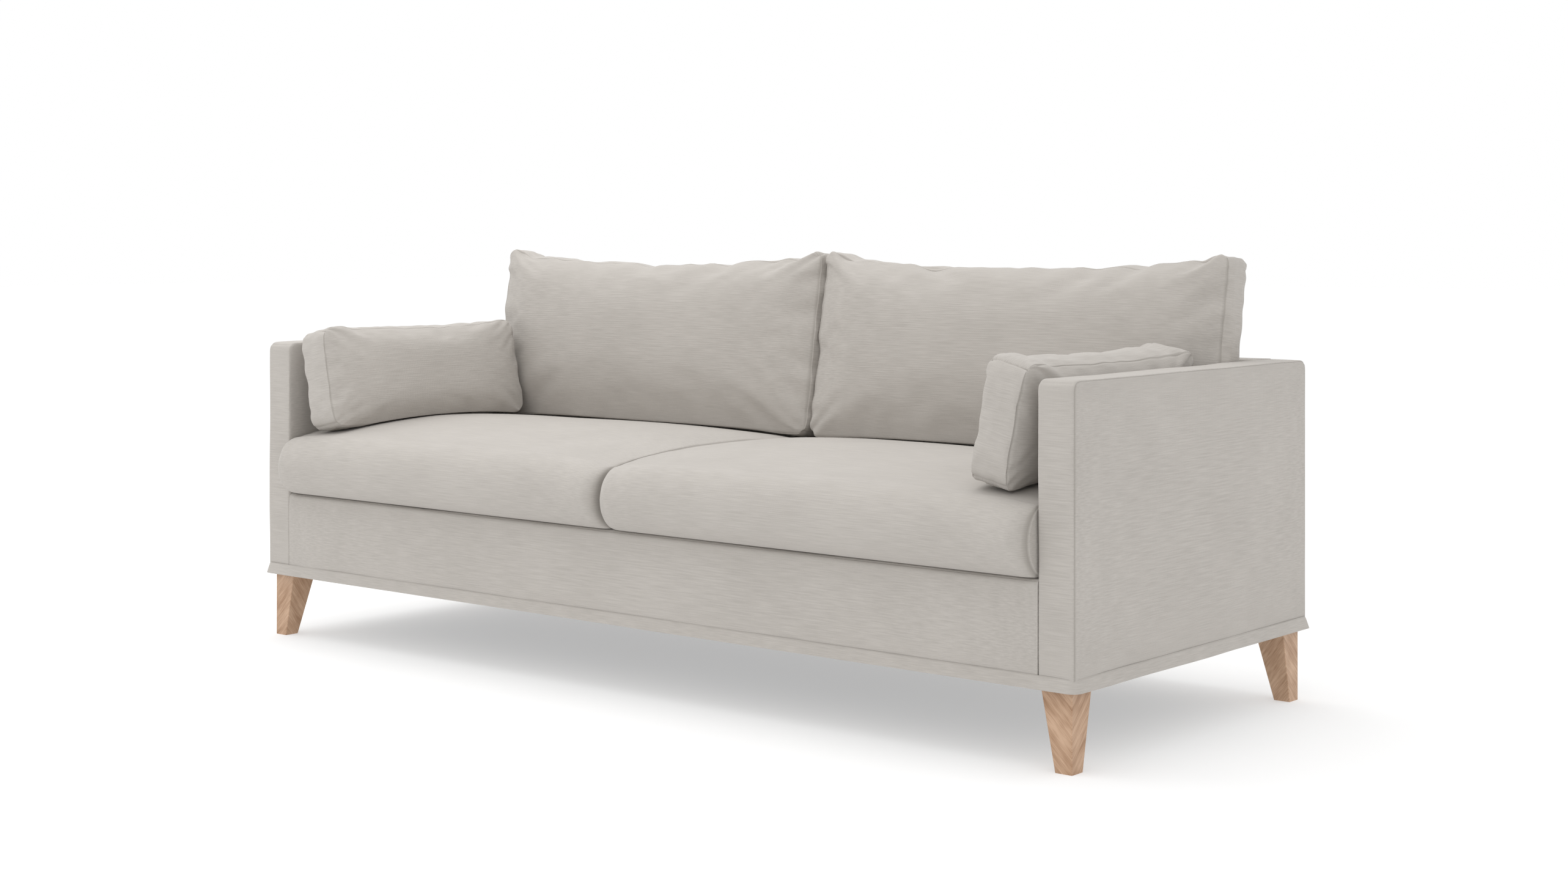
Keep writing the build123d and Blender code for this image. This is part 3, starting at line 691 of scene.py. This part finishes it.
def seat_layer(name, side, way, cuts, inset):
    """One layer of a seat cushion; inset is how far it lies inside the cover."""
    low, high = (np.array(v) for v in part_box(f"seat_cover_{side}"))
    piece = panel_box(name, cuts)
    grid = points_of(piece)
    u, v, w = crowd(grid[:, 0]), crowd(grid[:, 1]), grid[:, 2]
    rear, front = high[1] - 2 * MM, low[1]
    angle = w * pi / 2
    rise = np.sin(angle)
    nose = front + NOSE_BOW * (1 - np.sqrt(np.clip(1 - rise**2, 0, 1)))
    y = nose + (v + 1) / 2 * (rear - nose)
    top_y = front + NOSE_BOW + (v + 1) / 2 * (rear - front - NOSE_BOW)
    top = seat_height(top_y, u)
    foot = low[2] + 0.5 * MM
    z = foot + (rise + 1) / 2 * (top - foot)
    half = (high[0] - low[0]) / 2
    seam_in = SEAT_END_GAP + NOSE_PINCH * np.clip(1 - (y - front) / PINCH_REACH, 0, 1) ** 2
    panel = np.abs(grid[:, 0]) > 1 - EPS
    bulge = panel * ((1 - v**2).clip(0) * (1 - rise**2).clip(0)) ** 0.5 * END_BULGE
    x = (low[0] + high[0]) / 2 + u * (half - seam_in) + np.sign(u) * bulge
    over = np.clip(1 - (1 - np.abs(u)) * half / NOSE_CORNER, 0, 1)
    y = y + NOSE_CORNER * (1 - np.sqrt(1 - over**2)) * np.clip(1 - (y - front) / 0.12, 0, 1)
    points = np.stack([x, y, z], axis=1)
    seam = seam_of(grid, [((0, 0), (1, 0)), ((0, 0), (2, 0))])
    if inset:
        middle = np.array([(low[0] + high[0]) / 2, *SEAT_CORE])
        size = np.array([half, (rear - front) / 2, SEAT_HALF])
        points = middle + (points - middle) * (1 - inset / size)
    else:
        normal = outward(grid)
        cloth_side = 1 - panel * 0.7
        along = np.where(np.abs(grid[:, 1]) > 1 - EPS, z, y)
        to_seam = away(u) * half
        pucker = smooth_noise(along, 0 * along, 0 * along, 0.022, 3 + way) * np.exp(-to_seam / 0.03)
        upper = np.clip(w * 4 + 2, 0, 1)
        slack = smooth_noise(x * 0.7, y, z, 0.17, 11 + way) * 2.6
        slack += smooth_noise(x * 0.5, y, z, 0.07, 5 + way)
        lift = (pucker * SEAT_PUCKERS + slack * SEAT_CREASES) * MM * cloth_side * upper
        points = points + normal * (lift - seam * SEAT_GROOVE)[:, None]
        points[:, 2] = np.maximum(points[:, 2], low[2] + 0.2 * MM)
    set_points(piece, points)
    # The end seams get painted shade in the cloth's colour, darker along the sewn groove.
    store(piece, "seam", seam * 0.6)
    cloth_map(piece, grid, np.array([half * 2, rear - front, SEAT_SIDE]))
    return piece, grid


SEAT_LAYERS = [  # name, CAD node, cuts, inset, subdivision
    ("seat_cushion", "seat_cover", 60, 0.0, 1),
    ("seat_wadding_wrap", "seat_wadding", 30, 5 * MM, 0),
    ("seat_foam_block", "seat_foam", 24, 18 * MM, 0),
]
SEAT_ZIP = (1, 1), (0, 0.93), (2, 0.24, 0.05)  # on the rear, up to its ends
for side, way in SIDES.items():
    body = f"seat_cushion_{side}"
    for name, node_name, cuts, inset, levels in SEAT_LAYERS:
        piece, grid = seat_layer(f"{name}_{side}", side, way, cuts, inset)
        if not inset:
            zip_on(piece, grid, *SEAT_ZIP, body, f"seat_zip_{side}")
        soft_piece(piece, body, f"{node_name}_{side}", levels)

# %% [markdown]
# ## Back cushions and arm pillows
# Both are boxed: two large faces and a border strip between them, stuffed with loose
# fibre. So six flat panels are sewn into a box, and a cloth simulation fills it: the
# faces swell like a lens and pull the edges in, and the corners stay as stiff ears.

# %% Filling a cushion
def filled(piece, frames):
    """Lets pressure push the flat panels out. Returns how far each point moved."""
    flat = points_of(piece)
    cloth_step = piece.modifiers.new("filling", "CLOTH")
    settings = cloth_step.settings
    settings.quality, settings.mass, settings.air_damping = 6, 0.3, 4
    settings.tension_stiffness = settings.compression_stiffness = 15
    settings.shear_stiffness, settings.bending_stiffness = 7.5, 0.5
    settings.use_pressure, settings.uniform_pressure_force = True, 4
    settings.effector_weights.gravity = 0
    cloth_step.collision_settings.use_collision = False
    cloth_step.point_cache.frame_start, cloth_step.point_cache.frame_end = 1, frames
    for number in range(1, frames + 1):
        bpy.context.scene.frame_set(number)
    settled = piece.evaluated_get(bpy.context.evaluated_depsgraph_get())
    co = np.empty(flat.size)
    settled.data.vertices.foreach_get("co", co)
    piece.modifiers.remove(cloth_step)
    bpy.context.scene.frame_set(1)
    return co.reshape(-1, 3) - flat


def calm_border(grid, moved, axis, along, share):
    """Lets a border strip bulge past its two seams only by a share of what it wants."""
    for end in (-1, 1):
        strip = np.abs(grid[:, axis] - end) < EPS
        rim = strip & (np.abs(grid[:, 1]) > 1 - EPS)
        order = np.argsort(grid[rim, along])
        level = np.interp(grid[strip, along], grid[rim, along][order], moved[rim, axis][order])
        moved[strip, axis] = level + share * (moved[strip, axis] - level)


# %% Boxed cushion
CORNER_TUCK = 0.29  # the share of the corner radius that rounds a square corner
EAR_FOLDS, EAR_REACH = 2.6, 0.11  # millimetres and metres
BOXED_GROOVE = 2.0  # millimetres
SETTLE = 0.85  # the lower edge rests on the seat, so it hardly draws in
SAG = 0.5  # the upper edge sinks further between its two ears
NEIGHBOURS = 0.45  # the ends press on something, and draw in less


def boxed_cover(name, length, height, edge, crowns, corner, border, frames, seed, puckers):
    """Standing upright: x along, z up, y through. crowns are those of front and rear."""
    piece = panel_box(name, 50)
    grid = points_of(piece)
    spread = np.stack([crowd(grid[:, 0], 0.6), grid[:, 1], crowd(grid[:, 2], 0.5)], axis=1)
    half = np.array([length, edge, height]) / 2
    flat = spread * half
    steep = 3 * half / corner
    tuck = CORNER_TUCK * corner * np.abs(spread[:, 0]) ** steep[0] * np.abs(spread[:, 2]) ** steep[2]
    flat -= np.sign(spread) * (1, 0, 1) * tuck[:, None]
    x, y, z = flat.T
    flat += outward(grid) * (smooth_noise(x, y, z, 0.035, seed) * 1.5 * MM)[:, None]
    set_points(piece, flat)
    moved = filled(piece, frames)
    for way, crown in zip((-1, 1), crowns):
        face = grid[:, 1] * way > 0
        moved[face, 1] *= crown / np.abs(moved[face, 1]).max()
    calm_border(grid, moved, 2, 0, border[1])
    moved[:, 2] *= np.where(grid[:, 2] < 0, 1 + SETTLE * grid[:, 2], 1 + SAG * grid[:, 2])
    moved[:, 0] *= NEIGHBOURS
    calm_border(grid, moved, 0, 2, border[0])
    points = flat + moved
    seam = seam_of(grid, [((1, 0), (0, 0)), ((1, 0), (2, 0))])
    to_x, to_z = away(spread[:, 0]) * half[0], away(spread[:, 2]) * half[2]
    gather_x = smooth_noise(z, 0 * z, y, 0.019, seed) * np.exp(-to_x / 0.035)
    gather_z = smooth_noise(x, 0 * x, y, 0.024, seed + 2) * np.exp(-to_z / 0.030)
    from_ear = np.hypot(to_x, to_z)
    spokes = smooth_noise(np.arctan2(to_z, to_x), np.sign(x) * 3, np.sign(z) * 3, 0.22, seed + 7)
    folds = spokes * np.exp(-from_ear / EAR_REACH) * np.clip(from_ear / 0.02, 0, 1)
    slack = smooth_noise(x, y, z, 0.15, seed + 11) * 2.6
    slack += smooth_noise(x, y, z, 0.06, seed + 13) * 0.9
    lift = (gather_x + gather_z) * puckers + folds * EAR_FOLDS + slack
    points += outward(grid) * (lift - seam * BOXED_GROOVE)[:, None] * MM
    set_points(piece, points)
    # The border seams get painted shade in the cloth's colour, darker along the sewn groove.
    store(piece, "seam", seam * 0.5)
    cloth_map(piece, grid, half * 2)
    print(name, "swelled by", round(float(np.abs(moved[:, 1]).max()) / MM), "mm")
    return piece, grid


def filling_of(cover, name, inset):
    """The stuffing: the cover's own shape, drawn in towards its middle."""
    stuffing = cover.copy()
    stuffing.data = cover.data.copy()
    stuffing.name = stuffing.data.name = name
    bpy.context.collection.objects.link(stuffing)
    points = points_of(stuffing)
    middle = (points.min(axis=0) + points.max(axis=0)) / 2
    half = np.ptp(points, axis=0) / 2
    set_points(stuffing, middle + (points - middle) * (1 - inset / half))
    return stuffing


def rested(piece, side, clear):
    """Keeps a cushion just above the seat cushion that it stands on."""
    low, high = (np.array(v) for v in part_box(f"seat_cover_{side}"))
    points = points_of(piece)
    u = (points[:, 0] - (low[0] + high[0]) / 2) / ((high[0] - low[0]) / 2)
    seat = seat_height(points[:, 1], np.clip(u, -1, 1)) + clear
    points[:, 2] = np.maximum(points[:, 2], seat)
    set_points(piece, points)


def placed(piece, spot, turn):
    """Bakes a turn and a place into the mesh, so that the object stays at the origin."""
    move = Matrix.Translation(Vector(spot)) @ Euler([radians(t) for t in turn]).to_matrix().to_4x4()
    piece.data.transform(move)


# %% Back cushions
FILLING_INSET = 8 * MM
CLEAR_OF_SEAT = 4 * MM
FRAME_TOP, FRAME_FACE = 0.64, 0.3485  # of the padded back, which the cushions lean on
BACK_LEAN, BACK_SPOT = 8.8, (0.272, 0.640)
BACK_SHAPE = dict(height=0.408, edge=0.074, crowns=(0.048, 0.030), corner=0.040)
BACK_SHAPE |= dict(border=(1.0, 0.25), frames=13, puckers=2.2)
BACK_ZIP = (2, -1), (0, 0.9), (1, 0.36, 0.07)  # on the underside
for side, way in SIDES.items():
    low, high = (np.array(v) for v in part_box(f"back_cushion_cover_{side}"))
    body, node_name = f"back_cushion_{side}", f"back_cushion_cover_{side}"
    length = high[0] - low[0] + 6 * MM
    cushion, grid = boxed_cover(node_name + "_sewn", length, seed=20 + way, **BACK_SHAPE)
    placed(cushion, ((low[0] + high[0]) / 2, *BACK_SPOT), (-BACK_LEAN, 0, 0))
    points = points_of(cushion)
    points[:, 0] = np.clip(points[:, 0], low[0] + 0.5 * MM, high[0] - 0.5 * MM)
    against_frame = points[:, 2] < FRAME_TOP
    points[against_frame, 1] = np.minimum(points[against_frame, 1], FRAME_FACE)
    set_points(cushion, points)
    rested(cushion, side, CLEAR_OF_SEAT)
    zip_on(cushion, grid, *BACK_ZIP, body, f"back_cushion_zip_{side}")
    stuffing = filling_of(cushion, f"back_cushion_stuffing_{side}", FILLING_INSET)
    soft_piece(cushion, body, node_name, 1)
    soft_piece(stuffing, body, f"back_cushion_filling_{side}", 0)

# %% Arm pillows
PILLOW_LENGTH, PILLOW_LEAN = 0.556, 11.6
PILLOW_X, PILLOW_Z = 0.8705, 0.557
PILLOW_SHAPE = dict(height=0.222, edge=0.074, crowns=(0.030, 0.026), corner=0.042)
PILLOW_SHAPE |= dict(border=(0.6, 0.35), frames=10, puckers=1.8)
PILLOW_ZIP = (2, -1), (0, 0.86), (1, 0.36, 0.07)  # on the underside
for side, way in SIDES.items():
    low, high = (np.array(v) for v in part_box(f"arm_pillow_cover_{side}"))
    body, node_name = f"arm_pillow_{side}", f"arm_pillow_cover_{side}"
    pillow, grid = boxed_cover(node_name + "_sewn", PILLOW_LENGTH, seed=40 + way, **PILLOW_SHAPE)
    placed(pillow, (0, 0, 0), (0, 0, 90))
    spot = (way * PILLOW_X, (low[1] + high[1]) / 2, PILLOW_Z)
    placed(pillow, spot, (0, way * PILLOW_LEAN, 0))
    rested(pillow, side, CLEAR_OF_SEAT)
    zip_on(pillow, grid, *PILLOW_ZIP, body, f"arm_pillow_zip_{side}")
    stuffing = filling_of(pillow, f"arm_pillow_stuffing_{side}", FILLING_INSET)
    soft_piece(pillow, body, node_name, 1)
    soft_piece(stuffing, body, f"arm_pillow_filling_{side}", 0)

# %% [markdown]
# ## Studio
# A white floor that glows a little, so that it stays white all round and the shade under
# the sofa is an even pale grey, a white sky, and one wide soft lamp overhead.

# %% Floor and light
FLOOR_DARK, FLOOR_LIGHT, FLOOR_GLOW = "#cacaca", "#cccccc", 0.42
LAMP_PLACE, LAMP_SIZE, LAMP_WATTS = (-1.3, -0.5, 3.2), (4.5, 3.5), 55


def studio():
    bpy.ops.object.select_all(action="DESELECT")
    bpy.ops.mesh.primitive_plane_add(size=60)
    floor = bpy.context.object
    floor.name = "studio_floor"
    material, tree, shader = new_material("white_studio_floor")
    at = node(tree, "ShaderNodeTexCoord").outputs["Object"]
    grain = node(tree, "ShaderNodeTexNoise", Vector=at, Scale=3.0)
    colour = ramp(tree, grain.outputs[0], FLOOR_DARK, FLOOR_LIGHT)
    plug(tree, shader, Base_Color=colour, Roughness=0.9, Specular_IOR_Level=0.0)
    plug(tree, shader, Emission_Color=(1, 1, 1, 1), Emission_Strength=FLOOR_GLOW)
    floor.data.materials.append(material)
    floor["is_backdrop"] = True
    world = bpy.data.worlds.new("white_sky")
    world.use_nodes = True
    sky = world.node_tree.nodes["Background"]
    sky.inputs[0].default_value = (1, 1, 1, 1)
    sky.inputs[1].default_value = 1.0
    bpy.context.scene.world = world
    bpy.ops.object.light_add(type="AREA", location=LAMP_PLACE)
    lamp = bpy.context.object
    lamp.name = "soft_box"
    lamp.data.shape = "RECTANGLE"
    lamp.data.size, lamp.data.size_y = LAMP_SIZE
    lamp.data.energy = LAMP_WATTS
    bpy.context.scene.view_settings.view_transform = "Standard"


studio()

# %% [markdown]
# ## Camera
# It stands level in front of the right-hand end, a little above the arms, so upright
# edges stay parallel. A lens shift brings the legs into view without tipping it.

# %% Camera
EYE_PLACE, EYE_HEADING = (2.9827, -3.4604, 0.8679), 39.6947
EYE_LENS, SENSOR, EYE_SHIFT = 52.27, 36, -0.1353


def camera():
    level = (pi / 2, 0, radians(EYE_HEADING))
    bpy.ops.object.camera_add(location=EYE_PLACE, rotation=level)
    eye = bpy.context.object
    eye.name = "eye"
    eye.data.lens, eye.data.sensor_width = EYE_LENS, SENSOR
    eye.data.shift_y = EYE_SHIFT
    bpy.context.scene.camera = eye


camera()

# %% [markdown]
# ## Size
# Padding and creases make the sofa a few millimetres larger than its plain solids.

# %% Size on paper, and done
visual_low, visual_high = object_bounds()
growth = zip(visual_high - visual_low, cad_high - cad_low)
print("grown by", [round(float(a - b) / MM, 1) for a, b in growth], "mm")
